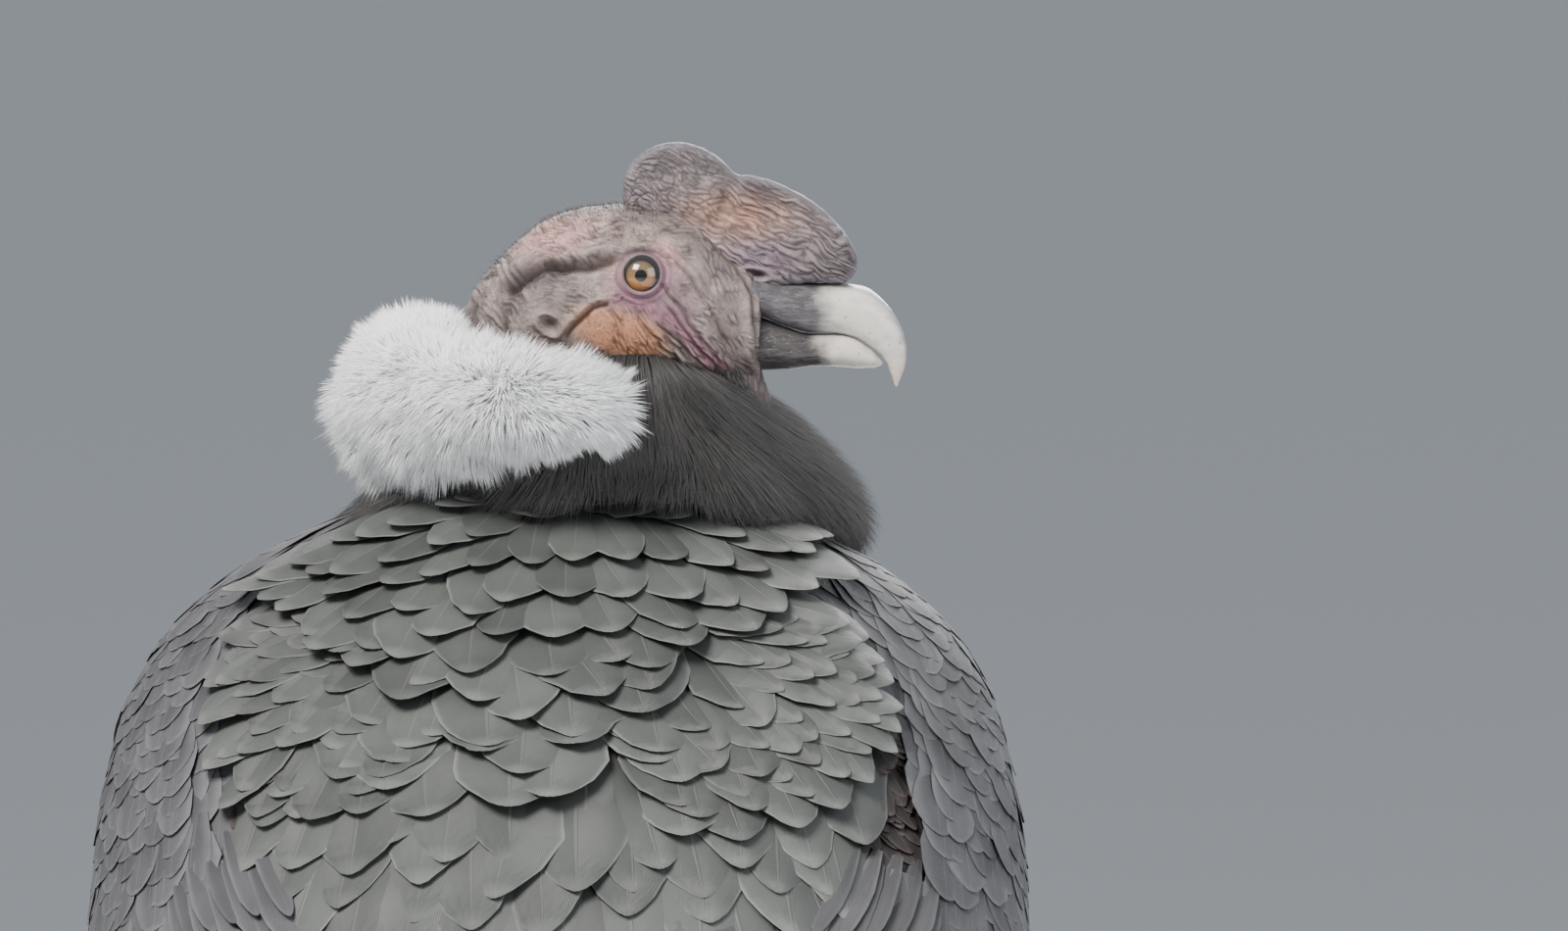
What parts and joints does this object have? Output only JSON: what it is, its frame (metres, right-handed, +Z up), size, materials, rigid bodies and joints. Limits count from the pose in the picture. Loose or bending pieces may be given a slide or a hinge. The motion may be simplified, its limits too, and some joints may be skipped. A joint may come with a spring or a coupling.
{
  "type": "andean condor, life-size standing model",
  "caption": "Adult male vulture of the high mountains, standing upright with folded wings, head turned to its right, fleshy comb, hooked bill and white neck ruff.",
  "frame": {"origin": "on the floor under the middle of the model's bounding box", "axes": "+Z is up. The bird's breast faces +Y and its tail points to -Y. Its right side, to which the bill points, is +X."},
  "size_m": [0.3632, 0.5382, 0.9802],
  "materials": {
    "plumage_black": "soft, close-lying black body feathers",
    "feather_slate": "matte slate-grey back feathers with paler edges",
    "wing_slate": "matte dark grey wing feathers",
    "neck_black": "plush, fine-barbed dark neck feathers",
    "ruff_white": "white down, soft and matte",
    "head_skin": "bare wrinkled skin, grey-pink with purple and orange patches",
    "comb_skin": "rough, wrinkled dark fleshy comb",
    "bill_ivory": "polished horn, ivory towards the hooked tip and grey at the base",
    "bill_grey": "polished horn, grey",
    "eye_amber": "wet and glossy, grey-brown to amber iris",
    "leg_scales": "grey scaled skin",
    "claw_horn": "blunt dark horn"
  },
  "bodies": {
    "root": {"bill_lower": "bill_grey", "bill_upper": "bill_ivory", "claw_hind_left": "claw_horn", "claw_hind_right": "claw_horn", "claw_inner_left": "claw_horn", "claw_inner_right": "claw_horn", "claw_middle_left": "claw_horn", "claw_middle_right": "claw_horn", "claw_outer_left": "claw_horn", "claw_outer_right": "claw_horn", "comb": "comb_skin", "ear_left": "head_skin", "ear_right": "head_skin", "eye_left": "eye_amber", "eye_right": "eye_amber", "foot_left": "leg_scales", "foot_right": "leg_scales", "head": "head_skin", "mantle": "feather_slate", "neck": "head_skin", "neck_frill": "neck_black", "ruff": "ruff_white", "shank_left": "leg_scales", "shank_right": "leg_scales", "tail": "plumage_black", "thigh_left": "plumage_black", "thigh_right": "plumage_black", "torso": "plumage_black", "wing_left": "wing_slate", "wing_right": "wing_slate"}
  },
  "joints": []
}
